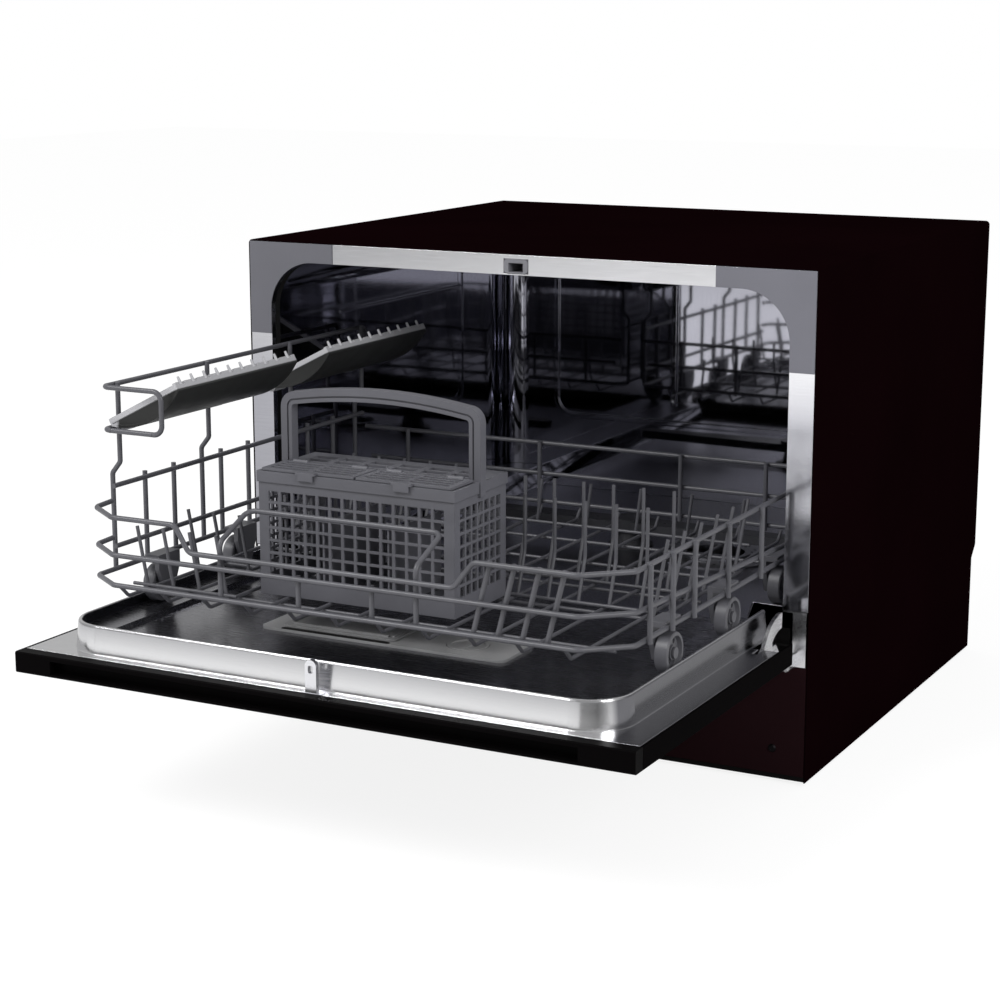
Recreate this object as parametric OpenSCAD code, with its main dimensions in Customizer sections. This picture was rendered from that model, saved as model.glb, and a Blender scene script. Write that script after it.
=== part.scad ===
// Countertop dishwasher with its door open and its rack rolled out.
// Millimetres, +Z up. The origin is on the worktop under the middle of the cabinet.
// The front faces -Y. "Ahead" means towards -Y, "s" runs from the door hinge to
// the door's free edge and "n" is the height over the hinge while the door lies open.

/* [Cabinet] */
// Width over the casing sides
case_w = 550; // [520:1:580]
// Depth from the front face to the rear panel
case_d = 496; // [490:1:540]
// Height over the casing top
case_h = 438; // [438:1:460]
// Thickness of the casing sheet
sheet_t = 1.2; // [0.8:0.1:2]
// Radius of the casing's upper edges
casing_r = 4; // [2:0.5:8]
// Height of the moulded base
base_h = 96; // [90:1:98]
// How far the base stands in from the rear panel
base_inset = 12; // [8:1:16]
// Height of the feet under the casing
foot_h = 3; // [2:0.5:6]
// Radius of a foot pad
foot_r = 15; // [10:1:20]

/* [Front frame] */
// Width of the opening
open_w = 503; // [502:0.5:505]
// Strip of frame above the opening
open_strip = 19; // [17:0.5:19]
// Corner radius of the opening
open_r = 44; // [36:1:46]
// Length of each corner cover along the top
corner_top = 88; // [60:1:120]
// Drop of each corner cover down the side
corner_drop = 84; // [60:1:110]
// Thickness of a corner cover
corner_t = 0.8; // [0.5:0.1:1]

/* [Tub] */
// Space between tub side and casing centre line
tub_half = 255; // [254:0.5:258]
// Gap between the tub roof and the casing top
roof_gap = 6; // [4:0.5:6]
// Gap between the tub back and the rear of the casing
back_gap = 18; // [12:0.5:18]
// Tub sheet thickness
tub_t = 1; // [0.6:0.1:1.4]
// Radius of the tub's upright rear corners
tub_back_r = 25; // [18:1:30]
// Depth of the tub floor below the wheel ledges
floor_drop = 21; // [16:1:24]

/* [Door] */
// Hinge line ahead of the front face
hinge_out = 24.3; // [24:0.1:25]
// Hinge line over the worktop
hinge_z = 112.1; // [112:0.1:113]
// Thickness of the door at its edge
door_t = 17.6; // [16:0.1:18]
// Gap between the shut door and the front face
door_gap = 1.4; // [1.2:0.1:2]
// Height of the liner's rim over the door edge
liner_rise = 23.1; // [22:0.1:23.5]
// Depth of the wheel tracks below the liner's rim
track_dip = 9.1; // [8.8:0.1:10]
// Further depth of the liner between the tracks
middle_dip = 4; // [3.5:0.1:5]
// Half width of the liner's rim
liner_half = 245.8; // [245:0.1:247]
// Corner radius of the liner's rim
liner_r = 34; // [33:0.5:38]
// Distance from the hinge line to the front of the liner's rim
liner_len = 301; // [296:1:303]
// Width of the groove in the door's top edge, used as a pull
groove_w = 470; // [300:1:500]

/* [Rack] */
// Distance of the front wires ahead of the front face
rack_out = 305; // [300:1:305]
// Distance of the rear wires behind the front face
rack_in = 145; // [130:1:145]
// Half width of the rack over wire centres
rack_half = 240; // [232:0.5:240]
// Radius of the rack wires
wire_r = 2.1; // [1.8:0.05:2.4]
// Radius of the tines and floor wires
tine_r = 1.5; // [1.4:0.05:2]
// Radius of a wire bend
wire_bend = 8; // [6:0.5:12]
// Height of the front and right rim wire
rim_z = 244; // [236:1:250]
// Dip of the rim wire in front of the basket
rim_dip = 21.5; // [15:0.5:24]
// Height of the middle wire
mid_z = 213; // [208:1:216]
// Height of the lowest rim wire
low_z = 188; // [186:0.5:192]
// Height of the left rail
left_z = 258; // [252:1:264]
// Height of the upper shelf rail
rail_z = 342.5; // [336:0.5:342.5]
// Height of the lower shelf rail
pivot_z = 307.1; // [300:0.1:310]
// Width of the front loop of the shelf rails
loop_w = 59; // [50:1:66]

/* [Wheels] */
// Radius of a wheel
wheel_r = 16.2; // [14:0.1:16.4]
// Width of a wheel
wheel_w = 11; // [8:0.5:11]
// Distance between wheels along the rack
wheel_pitch = 118; // [100:1:122]
// Distance of the front wheels ahead of the front face
wheel_out = 205; // [196:1:210]
// Radius of a wheel axle
axle_r = 3; // [2:0.1:4]

/* [Cup shelves] */
// Width of a cup shelf from pivot to free edge
shelf_w = 80; // [60:1:84]
// Length of a cup shelf
shelf_l = 176; // [150:1:178]
// Rise of the shelf towards its free edge, in degrees
shelf_tilt = 27; // [15:1:27]
// Sag of the shelf's scoop under its chord
shelf_sag = 12; // [6:0.5:14]
// Thickness of the shelf
shelf_t = 2.4; // [1.6:0.1:3]
// Tines on the free edge of a shelf
shelf_tines = 10; // [6:1:12]

/* [Cutlery basket] */
// Width of the basket
basket_w = 180; // [150:1:180]
// Depth of the basket
basket_d = 86; // [70:1:88]
// Height of the basket walls
basket_h = 102; // [90:1:106]
// Wall thickness of the basket
basket_t = 2; // [1.6:0.1:2.4]
// Height of the arched handle over the basket
handle_h = 66; // [50:1:66]
// Columns of openings in the long walls
lattice_cols = 14; // [8:1:16]
// Rows of openings
lattice_rows = 7; // [4:1:9]

/* [Wash system] */
// Length of the spray arm from tip to tip
arm_len = 390; // [300:2:396]
// Radius of the filter opening in the tub floor
filter_r = 52; // [40:1:56]
// Radius of the water inlet stub
inlet_r = 13.2; // [12:0.1:14]
// Radius of the drain stub
drain_r = 9.5; // [8:0.1:11]

/* [Hidden] */
$fn = 48;

seat = 0.3;
lap = 0.4;
front = -case_d / 2;
rear = case_d / 2;
half_w = case_w / 2;
inner_half = half_w - sheet_t;
casing_top = case_h - sheet_t;
open_half = open_w / 2;
open_top = case_h - open_strip;
tub_roof = case_h - roof_gap;
tub_back = rear - back_gap;

hinge_y = front - hinge_out;
face_n = hinge_out - door_gap - door_t;
edge_n = hinge_out - door_gap;
rim_n = edge_n + liner_rise;
track_n = rim_n - track_dip;
middle_n = track_n - middle_dip;
door_len = case_h - hinge_z;
track_z = hinge_z + track_n;
swing_r = rim_n + 1.4;
shut_rim_y = hinge_y + rim_n;

casing_black = "#0c0709";
plastic_black = "#161415";
frame_grey = "#74747c";
steel = "#b9bac0";
wire_grey = "#5b5b61";
basket_grey = "#66666f";

// Point of the door, given along it and over it, while it lies open
function door_at(s, n) = [hinge_y - s, hinge_z + n];
function unit(v) = v / norm(v);
function turn_of(a, p, b) = acos(max(-1, min(1, unit(p - a) * unit(b - p))));

// Extrude an outline drawn in X and Z between two depths
module along_y(y0, y1) {
  translate([0, y1, 0]) rotate([90, 0, 0]) linear_extrude(y1 - y0) children();
}

// Extrude an outline drawn in Y and Z between two widths
module along_x(x0, x1) {
  translate([x0, 0, 0]) rotate([90, 0, 90]) linear_extrude(x1 - x0) children();
}

module box(x, y, z) {
  translate([x[0], y[0], z[0]]) cube([x[1] - x[0], y[1] - y[0], z[1] - z[0]]);
}

module both_sides() {
  children();
  mirror([1, 0, 0]) children();
}

module round_rect(w, h, r) {
  square([w - 2 * r, h], center = true);
  square([w, h - 2 * r], center = true);
  for (x = [-1, 1], y = [-1, 1])
    translate([x * (w / 2 - r), y * (h / 2 - r)]) circle(r = r);
}

// Straight round bar from one point to another
module rod(a, b, r = wire_r) {
  d = b - a;
  translate(a)
    rotate([0, acos(d.z / norm(d)), atan2(d.y, d.x)])
      cylinder(r = r, h = norm(d), $fn = 24);
}

module bend_at(a, p, b, bend, r) {
  u = unit(p - a);
  turn = turn_of(a, p, b);
  w = unit(cross(u, unit(b - p)));
  x = cross(u, w);
  o = p - u * bend * tan(turn / 2) - x * bend;
  multmatrix([[x.x, u.x, w.x, o.x], [x.y, u.y, w.y, o.y], [x.z, u.z, w.z, o.z], [0, 0, 0, 1]])
    rotate_extrude(angle = turn) translate([bend, 0]) circle(r = r, $fn = 24);
}

// Round wire bent along its corner points. A bend is a hair fuller than the straight wire.
module wire(pts, bend = wire_bend, r = wire_r) {
  last = len(pts) - 1;
  for (i = [0 : last - 1]) {
    cut_a = i == 0 ? 0 : bend * tan(turn_of(pts[i - 1], pts[i], pts[i + 1]) / 2) - lap;
    cut_b = i == last - 1 ? 0 : bend * tan(turn_of(pts[i], pts[i + 1], pts[i + 2]) / 2) - lap;
    u = unit(pts[i + 1] - pts[i]);
    rod(pts[i] + u * cut_a, pts[i + 1] - u * cut_b, r);
  }
  for (i = [1 : 1 : last - 1]) bend_at(pts[i - 1], pts[i], pts[i + 1], bend, r * 1.02);
}

/* Casing and base */

module casing_outline(inset) {
  r = casing_r - inset;
  w = half_w - inset;
  top = case_h - inset;
  difference() {
    union() {
      translate([-w, -50]) square([2 * w, top - r + 50]);
      translate([-w + r, 0]) square([2 * w - 2 * r, top]);
      for (x = [-1, 1]) translate([x * (w - r), top - r]) circle(r = r);
    }
    translate([-case_w, -100]) square([2 * case_w, 100 + foot_h]);
  }
}

module outer_casing() color(casing_black) {
  notch = base_h + base_inset;
  difference() {
    along_y(front, rear) difference() {
      casing_outline(0);
      casing_outline(sheet_t);
    }
    along_x(-case_w, case_w)
      polygon([[rear - base_inset, -1], [rear + 1, -1], [rear + 1, notch + 1],
        [rear, notch], [rear - base_inset, base_h]]);
  }
}

module rear_panel() color("#1b1718") {
  w = inner_half - seat;
  top = casing_top - seat;
  difference() {
    along_x(-w, w)
      polygon([[rear - base_inset, base_h], [rear, base_h + base_inset], [rear, top],
        [rear - sheet_t, top], [rear - sheet_t, base_h + base_inset + 0.5],
        [rear - base_inset - sheet_t, base_h + 0.5], [rear - base_inset - sheet_t, base_h]]);
    for (i = [0 : 9], side = [-1, 1])
      translate([side * (w - 60), rear - 5, casing_top - 60 - 9 * i])
        rotate([-90, 0, 0]) linear_extrude(10) round_rect(60, 4, 1.9);
    corner_clips(w, top);
    screw_holes();
  }
  for (side = [-1, 1])
    translate([side * (w - 130), 0, 0])
      box([-8, 8], [rear - 2 * sheet_t, rear - sheet_t], [base_h + base_inset + 10, casing_top - 20]);
}

// Room in a sheet's upper corners for the casing's folds
module corner_clips(w, top) {
  both_sides() translate([w, 0, top]) rotate([0, 45, 0]) cube([3, 3 * case_d, 3], center = true);
}

// Places of the screws: rear panel and kick plate
rear_screws = [for (x = [-1, 1], z = [150, 280, 410]) [x * (inner_half - 9), z]];
front_screws = [for (x = [-1, 1]) [x * (half_w - 30), 30]];
screw_r = 1.7;
module screw_holes() {
  for (p = rear_screws) translate([p.x, rear - 10, p.y]) rotate([-90, 0, 0])
    cylinder(r = screw_r + 0.05, h = 20);
  for (p = front_screws) translate([p.x, front - 1, p.y]) rotate([-90, 0, 0])
    cylinder(r = screw_r + 0.05, h = 10);
}

module base_tray() color(plastic_black) {
  w = inner_half - seat;
  y0 = front + 2.5;
  y1 = rear - base_inset;
  wall = 2.5;
  difference() {
    box([-w, w], [y0, y1], [foot_h, base_h]);
    box([-w + wall, w - wall], [y0 + wall, y1 - wall], [foot_h + wall, base_h + 1]);
    // Openings for the inlet, the drain and the mains lead
    for (m = [[-200, inlet_r + 0.3, 60], [-150, drain_r + 0.3, 60], [205, 8.3, 60]])
      translate([m[0], y1 - wall - 1, m[2]]) rotate([-90, 0, 0]) cylinder(r = m[1], h = wall + 2);
    for (x = [-1, 1], y = [-1, 1])
      translate([x * (w - 40), y * (rear - 70), foot_h - 1]) cylinder(r = 4.3, h = wall + 2);
    screw_holes();
  }
  // Cross ribs that carry the pumps and the sump
  for (y = [-90, 90])
    box([-w + wall, w - wall], [y - 1.25, y + 1.25], [foot_h + wall, foot_h + 24]);
  for (x = [-215, 215])
    box([x - 1.25, x + 1.25], [y0 + wall, y1 - wall], [foot_h + wall, foot_h + 24]);
}

module feet() color("#232323") {
  w = inner_half - seat;
  for (x = [-1, 1], y = [-1, 1])
    translate([x * (w - 40), y * (rear - 70), 0]) {
      cylinder(r1 = foot_r - 1.5, r2 = foot_r, h = foot_h - seat);
      cylinder(r = 4, h = foot_h + 16);
    }
  // Pad under the middle of the base
  cylinder(r1 = foot_r - 1.5, r2 = foot_r, h = foot_h - seat);
}

module kick_plate() color(casing_black) {
  w = inner_half - seat;
  difference() {
    box([-w, w], [front, front + 2], [foot_h + 5, hinge_z - 1]);
    both_sides() box([w - 22, w + 1], [front - 1, front + 3], [hinge_z - bracket_drop - 0.5, hinge_z]);
    screw_holes();
  }
  for (z = [40, 75]) box([-w + 30, w - 30], [front + 2, front + 2.5], [z, z + 3]);
}

module screw() {
  cylinder(r1 = 3.6, r2 = 2.6, h = 1.2);
  translate([0, 0, -6]) cylinder(r = screw_r, h = 6.1);
}

module casing_screws() color("#8d8d92") {
  for (p = rear_screws) translate([p.x, rear, p.y]) rotate([-90, 0, 0]) screw();
  for (p = front_screws) translate([p.x, front, p.y]) rotate([90, 0, 0]) screw();
}

/* Front frame */

module opening_outline(extra, foot) {
  w = open_half + extra;
  top = open_top + extra;
  r = open_r + extra;
  translate([-w, foot]) square([2 * w, top - r - foot]);
  translate([-w + r, foot]) square([2 * w - 2 * r, top - foot]);
  for (x = [-1, 1]) translate([x * (w - r), top - r]) circle(r = r, $fn = 64);
}

leg_foot = 152;
face_t = 1.2;

module front_frame() color("#c9cacf") {
  w = inner_half - seat;
  top = casing_top - seat;
  difference() {
    along_y(front, front + face_t) difference() {
      translate([-w, leg_foot]) square([2 * w, top - leg_foot]);
      opening_outline(0, 0);
    }
    receiver_hole();
    corner_clips(w, top);
  }
  // Lip folded back around the opening
  along_y(front + face_t - 0.1, front + 6) difference() {
    intersection() {
      opening_outline(1, leg_foot);
      translate([-w, leg_foot]) square([2 * w, top]);
    }
    opening_outline(0, 0);
  }
}

module frame_corner() color(frame_grey) {
  w = inner_half - seat;
  top = casing_top - seat;
  along_y(front - corner_t, front) difference() {
    translate([w - corner_top, top - corner_drop]) square([corner_top, corner_drop]);
    opening_outline(0, 0);
  }
}
module right_frame_corner() frame_corner();
module left_frame_corner() mirror([1, 0, 0]) frame_corner();

// Catch for the door's strike, behind the top strip of the frame
receiver_half = 12;
strike_z = 424.6;
strike_w = 10;
module receiver_hole() {
  box([-receiver_half, receiver_half], [front - 3, front + 3],
    [open_top + 1, open_top + 14]);
}
module latch_receiver() color(frame_grey) {
  h = 13 - 0.6;
  z0 = open_top + 1.3;
  difference() {
    union() {
      translate([0, 0, z0 + h / 2])
        along_y(front - 0.6, front + face_t + 0.1) round_rect(2 * receiver_half - 0.6, h, 3.5);
      box([-receiver_half - 2, receiver_half + 2], [front + face_t, front + 33], [z0 + 0.1, z0 + 11]);
    }
    box([-strike_w / 2 - 2, strike_w / 2 + 2], [front - 2, front + 31], [z0 + 1.2, z0 + 9]);
  }
}

/* Tub */

ledge_half = 215;
floor_half = 208;
floor_z = track_z - floor_drop;
sill_back = front + 23;
well_x = 90;
well_y = 0;

module tub_outline(extra) {
  w = tub_half + extra;
  r = open_r + extra;
  top = tub_roof + extra;
  polygon([[-w, track_z - extra], [-ledge_half - extra, track_z - extra],
    [-floor_half - extra, floor_z - extra], [floor_half + extra, floor_z - extra],
    [ledge_half + extra, track_z - extra], [w, track_z - extra], [w, top - r],
    [w - r, top - r], [w - r, top], [-w + r, top], [-w + r, top - r], [-w, top - r]]);
  for (x = [-1, 1]) translate([x * (w - r), top - r]) circle(r = r, $fn = 64);
}

module tub_plan(extra) {
  w = tub_half + extra;
  r = tub_back_r + extra;
  back = tub_back + extra;
  translate([-w, front - 5]) square([2 * w, back - r - front + 5]);
  translate([-w + r, front - 5]) square([2 * w - 2 * r, back - front + 5]);
  for (x = [-1, 1]) translate([x * (w - r), back - r]) circle(r = r, $fn = 64);
}

module tub_block(extra) {
  intersection() {
    along_y(front + face_t + seat - (extra == 0 ? 1 : 0), tub_back + extra) tub_outline(extra);
    translate([0, 0, 50]) linear_extrude(case_h) tub_plan(extra);
  }
}

module tub() color("#3a3a40") {
  difference() {
    tub_block(tub_t);
    tub_block(0);
    // Room for the shut door and its lower edge
    box([-half_w, half_w], [front - 1, front + 24], [50, track_z + 1]);
    translate([well_x, well_y, floor_z - 5]) cylinder(r = filter_r, h = 10);
    translate([0, 0, floor_z - 5]) cylinder(r = 9, h = 10);
  }
  // Pressed bead along each side wall
  both_sides()
    translate([tub_half - 0.4, 0, 358]) rotate([-90, 0, 0])
      translate([0, 0, front + 124]) cylinder(r = 1.3, h = 242, $fn = 24);
  // Raised frame of the pressing in the back wall
  along_y(tub_back - 1.6, tub_back + 0.2) difference() {
    translate([18, (206 + 400) / 2]) round_rect(430, 400 - 206, 22);
    translate([18, (206 + 400) / 2]) round_rect(420, 184, 17);
  }
  box([-58, -52], [tub_back - 1.6, tub_back + 0.2], [227, 358]);
}

module tub_gasket() color("#1a1a1c") {
  difference() {
    along_y(front + 7, front + 14) difference() {
      intersection() {
        opening_outline(3, track_z + 3);
        translate([-tub_half + seat, track_z + 3])
          square([2 * tub_half - 2 * seat, tub_roof - track_z - 3 - seat]);
      }
      opening_outline(0.2, 0);
    }
    box([-receiver_half - 2.4, receiver_half + 2.4], [front, front + 40],
      [open_top + 0.65, tub_roof]);
  }
}

module door_sill() color(plastic_black) {
  w = open_half - 1;
  along_x(-w, w) polygon([[front + 2.3, hinge_z - 6], [sill_back + 0.8, hinge_z - 6],
    [sill_back + 0.8, floor_z + 2], [sill_back - 0.3, floor_z + 2], [sill_back - 0.3, hinge_z + 4],
    [sill_back - 0.8, hinge_z + 2.4], [front + 2.3, hinge_z + 2.4]]);
}

/* Door hinge */

bracket_x = 262;
arm_x = 256.4;
arm_t = 3.2;
pin_r = 3;
hub_r = 7;
strap_in = 31;
strap_out = 44;
notch_x = 252;
bracket_drop = 8;

module hinge_brackets() color("#85868c") both_sides() {
  w = inner_half - seat - 1;
  difference() {
    union() {
      box([notch_x, w], [front, front + 1.4], [hinge_z - bracket_drop, leg_foot - 0.6]);
      along_x(bracket_x, bracket_x + 3) difference() {
        union() {
          polygon([[front + 0.5, hinge_z - bracket_drop + 0.5], [hinge_y, hinge_z - 6],
            [hinge_y, hinge_z + 4.4], [front + 0.5, hinge_z + 4.4]]);
          translate(door_at(0, 0)) circle(r = 6);
        }
        translate(door_at(0, 0)) circle(r = pin_r + 0.02);
      }
    }
    box([arm_x - 1.2, arm_x + arm_t + 1], [front - 3, front + 3], [hinge_z - 6, leg_foot - 1.6]);
    box([notch_x - 1, arm_x + 1], [front - 3, front + 3], [hinge_z + 2, leg_foot - 1.6]);
  }
}

module hinge_pins() color("#9b9ca2") both_sides()
  translate([0, hinge_y, hinge_z]) rotate([0, 90, 0]) {
    translate([0, 0, arm_x - 1.4]) cylinder(r = pin_r, h = bracket_x + 4.4 - arm_x + 1.4);
    translate([0, 0, bracket_x + 3]) cylinder(r = pin_r + 2, h = 1.6);
    translate([0, 0, arm_x - 1.8]) cylinder(r = pin_r + 1.2, h = 1.2);
  }

module hinge_arms() color("#c4c5ca") both_sides()
  along_x(arm_x, arm_x + arm_t) {
    difference() {
      union() {
        translate(door_at(0, 0)) circle(r = hub_r);
        polygon([door_at(-3, 4), door_at(4, -5.5), door_at(10, -4), door_at(13.4, face_n + 3.2),
          door_at(62, face_n + 3.2), door_at(62, edge_n - 3), door_at(12, edge_n - 3)]);
        polygon([door_at(20, edge_n - 5), door_at(47, edge_n - 5), door_at(34, edge_n + 2),
          door_at(20, edge_n + 2)]);
      }
      translate(door_at(0, 0)) circle(r = pin_r + 0.06);
    }
    difference() {
      translate(door_at(0, 0)) circle(r = strap_out, $fn = 64);
      translate(door_at(0, 0)) circle(r = strap_in, $fn = 64);
      translate(door_at(0, 0)) rotate(-2) translate([0, -60]) square([60, 120]);
      translate(door_at(0, 0)) translate([-60, -60]) square([120, 60 + edge_n - 4]);
    }
  }

/* Door */

pan_t = 2;
lip_t = 2.4;
panel_s = [252, 310];
end_s = door_len;
trim_s = end_s - 12;

module door_outer_panel() color(casing_black) {
  difference() {
    along_x(-half_w, half_w)
      polygon([door_at(-6, face_n), door_at(trim_s, face_n), door_at(trim_s, edge_n),
        door_at(-6, edge_n)]);
    along_x(-half_w + pan_t, half_w - pan_t)
      polygon([door_at(-6 + pan_t, face_n + pan_t), door_at(end_s, face_n + pan_t),
        door_at(end_s, edge_n + 1), door_at(-6 + pan_t, edge_n + 1)]);
    // Corner notches for the hinge brackets
    both_sides() box([notch_x, half_w + 1], [hinge_y - 14, hinge_y + 20], [hinge_z, hinge_z + 40]);
    // Seat of the control panel
    box([-half_w + 6, half_w - 6], [hinge_y - panel_s[1], hinge_y - panel_s[0]],
      [hinge_z, hinge_z + face_n + pan_t + 1]);
  }
}

module door_top_trim() color(plastic_black) {
  difference() {
    along_x(-half_w, half_w)
      polygon([door_at(trim_s + 0.05, face_n), door_at(end_s - 1, face_n),
        door_at(end_s, face_n + 1), door_at(end_s, edge_n - 1), door_at(end_s - 1, edge_n),
        door_at(trim_s + 0.05, edge_n)]);
    along_x(-groove_w / 2 - 5, groove_w / 2 - 5)
      polygon([door_at(end_s + 1, face_n + 2.4), door_at(end_s + 1, edge_n - 4),
        door_at(end_s - 9, edge_n - 4.6), door_at(end_s - 9, face_n + 3)]);
  }
}

// Section of the pressed lip: distance from the rim line and height over the hinge.
// The corners are a hair fuller than the straight runs and lap into them.
function lip_profile(more = 0) = [[3.2 + more, edge_n + more], [0.8 + more, rim_n - 1.6],
  [0.2 + more, rim_n - 0.5 + more], [-0.6, rim_n + more], [-lip_t + 0.6, rim_n + more],
  [-lip_t - more, rim_n - 0.6], [-lip_t - more, middle_n - 1.2 - more],
  [-0.4, middle_n - 1.2 - more], [1.6, edge_n - 1.2 - more], [3.2 + more, edge_n - 1.2 - more]];

module lip_run(len) {
  rotate([90, 0, 0]) linear_extrude(len) polygon(lip_profile());
}

module liner_pressing() {
  open_end = 4;
  corner_lap = 0.4;
  inner = liner_half - lip_t + 0.2;
  inner_r = liner_r - lip_t + 0.2;
  inner_len = liner_len - lip_t + 0.2;
  outer_r = liner_r + 1.8;
  across = liner_half - liner_r;
  translate([0, hinge_y, hinge_z]) {
    both_sides() translate([liner_half, -open_end, 0])
      lip_run(liner_len - liner_r - open_end + corner_lap);
    translate([across + corner_lap, -liner_len, 0]) rotate([0, 0, -90])
      lip_run(2 * (across + corner_lap));
    both_sides() translate([across, -liner_len + liner_r, 0])
      rotate([0, 0, -90]) rotate_extrude(angle = 90, $fn = 64)
        translate([liner_r, 0]) polygon(lip_profile(0.04));
    // Floor with its two wheel tracks
    intersection() {
      rotate([90, 0, 0]) linear_extrude(inner_len)
        polygon([[-inner, track_n], [-214, track_n], [-210, middle_n], [210, middle_n],
          [214, track_n], [inner, track_n], [inner, track_n - 1.2], [214.6, track_n - 1.2],
          [210.6, middle_n - 1.2], [-210.6, middle_n - 1.2], [-214.6, track_n - 1.2],
          [-inner, track_n - 1.2]]);
      translate([0, 0, 10]) linear_extrude(60) {
        translate([-inner, -inner_len + inner_r])
          square([2 * inner, inner_len - inner_r - open_end]);
        translate([-inner + inner_r, -inner_len]) square([2 * (inner - inner_r), 60]);
        for (side = [-1, 1])
          translate([side * (inner - inner_r), -inner_len + inner_r]) circle(r = inner_r, $fn = 64);
      }
    }
    // Flange around the pressing
    difference() {
      translate([0, 0, edge_n - 1.1]) linear_extrude(1.05) difference() {
        translate([-half_w + pan_t + seat, -trim_s + seat])
          square([2 * (half_w - pan_t - seat), trim_s - seat - 0.6]);
        translate([-liner_half - 1.8, -liner_len - 1.8 + outer_r])
          square([2 * liner_half + 3.6, liner_len + 20]);
        translate([-across, -liner_len - 1.8]) square([2 * across, 60]);
        for (side = [-1, 1])
          translate([side * across, -liner_len + liner_r]) circle(r = outer_r, $fn = 64);
      }
      both_sides() box([notch_x - 2, half_w], [-42, 10], [0, 60]);
      both_sides() box([arm_x - 0.6, arm_x + arm_t + 0.6], [-56, 10], [0, 60]);
    }
  }
}

module control_panel() color("#101012") {
  w = half_w - 6 - 0.2;
  difference() {
    box([-w, w], [hinge_y - panel_s[1] + 0.2, hinge_y - panel_s[0] - 0.2],
      [hinge_z + face_n, hinge_z + face_n + 3]);
    for (b = button_x) translate([b, hinge_y - button_s, hinge_z]) cylinder(r = button_r + 0.3, h = 20);
    box([window_x[0], window_x[1]], [hinge_y - window_s[1], hinge_y - window_s[0]],
      [hinge_z, hinge_z + face_n + 1.6]);
    box([window_x[0] + 6, window_x[1] - 6], [hinge_y - window_s[1] + 5, hinge_y - window_s[0] - 5],
      [hinge_z, hinge_z + 20]);
  }
}

button_x = [-210, 110, 190];
button_s = 282;
button_r = 7;
window_x = [-40, 50];
window_s = [268, 296];

module display_window() color([0.1, 0.12, 0.14, 0.8])
  box([window_x[0] + 0.2, window_x[1] - 0.2],
    [hinge_y - window_s[1] + 0.2, hinge_y - window_s[0] - 0.2],
    [hinge_z + face_n, hinge_z + face_n + 1.5]);

module control_board() color("#2e4a37") {
  z0 = hinge_z + face_n + 6.2;
  box([-232, 215], [hinge_y - 306, hinge_y - 258], [z0, z0 + 1.6]);
  for (x = [-225, -100, 75, 150, 208])
    translate([x, hinge_y - 262, hinge_z + face_n + 3]) cylinder(r = 2.5, h = 3.3);
  for (b = button_x)
    translate([b, hinge_y - button_s, z0 + 1.5]) cylinder(r = 4, h = 2);
  box([-30, 30], [hinge_y - 292, hinge_y - 274], [z0 + 1.5, z0 + 5]);
}

module push_button(x) color("#3a3a3e") translate([x, hinge_y - button_s, hinge_z + face_n]) {
  translate([0, 0, -1.4]) cylinder(r = button_r, h = 5);
  translate([0, 0, -1.4]) rotate_extrude() translate([button_r - 1.2, 0]) circle(r = 0.5);
}
module power_button() push_button(button_x[0]);
module program_button() push_button(button_x[1]);
module start_button() push_button(button_x[2]);

module latch_strike() color("#dfe0e4") {
  s0 = strike_z - hinge_z;
  z0 = hinge_z + edge_n;
  box([-strike_w / 2 - 4, strike_w / 2 + 4], [hinge_y - s0 - 3, hinge_y - s0 + 5], [z0, z0 + 0.5]);
  translate([0, hinge_y - s0 + 2, 0]) rotate([90, 0, 0]) linear_extrude(4) difference() {
    union() {
      translate([-strike_w / 2, z0 + 0.3]) square([strike_w, 21.2]);
      translate([0, z0 + 21.5]) circle(r = strike_w / 2);
    }
    translate([0, z0 + 19]) round_rect(4.4, 6, 1.5);
  }
}

/* Detergent and rinse aid dispenser on the liner */

disp_x = [-118, 108];
disp_s = [150, 206];
disp_z = hinge_z + middle_n;
cell_x = [-96, 2];
cap_x = 62;
cap_r = 17;
disp_mid = (disp_s[0] + disp_s[1]) / 2;

module dispenser_body() color("#6e6e75") {
  difference() {
    union() {
      translate([(disp_x[0] + disp_x[1]) / 2, hinge_y - disp_mid, disp_z])
        linear_extrude(2.4) round_rect(disp_x[1] - disp_x[0], disp_s[1] - disp_s[0], 7);
      translate([(cell_x[0] + cell_x[1]) / 2, hinge_y - disp_mid, disp_z - 9])
        linear_extrude(9.1) round_rect(cell_x[1] - cell_x[0] + 4, 44, 6);
    }
    translate([(cell_x[0] + cell_x[1]) / 2, hinge_y - disp_mid, disp_z - 7.5])
      linear_extrude(20) round_rect(cell_x[1] - cell_x[0], 40, 5);
    translate([cap_x, hinge_y - disp_mid, disp_z - 1]) cylinder(r = cap_r + 0.4, h = 10);
  }
}

module dispenser_floor_hole() {
  translate([(cell_x[0] + cell_x[1]) / 2, hinge_y - disp_mid, disp_z - 10])
    linear_extrude(20) round_rect(cell_x[1] - cell_x[0] + 4.6, 44.6, 6);
}

module door_liner() color("#8e8f95") difference() {
  liner_pressing();
  dispenser_floor_hole();
}

// Lid that slides back over the plate to open the cell
module dispenser_lid() color("#7b7b82") {
  w = cell_x[1] - cell_x[0] + 8;
  translate([(cell_x[0] + cell_x[1]) / 2, hinge_y - disp_mid, disp_z + 2.4 + seat]) {
    linear_extrude(1.8) round_rect(w, 44, 5);
    // Finger ridge
    translate([-w / 2 + 8, -17, 1.7]) cube([w - 16, 2.4, 1.6]);
    for (x = [-w / 2 + 4, w / 2 - 6]) translate([x, -14, 1.7]) cube([2, 30, 0.8]);
  }
}

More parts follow.
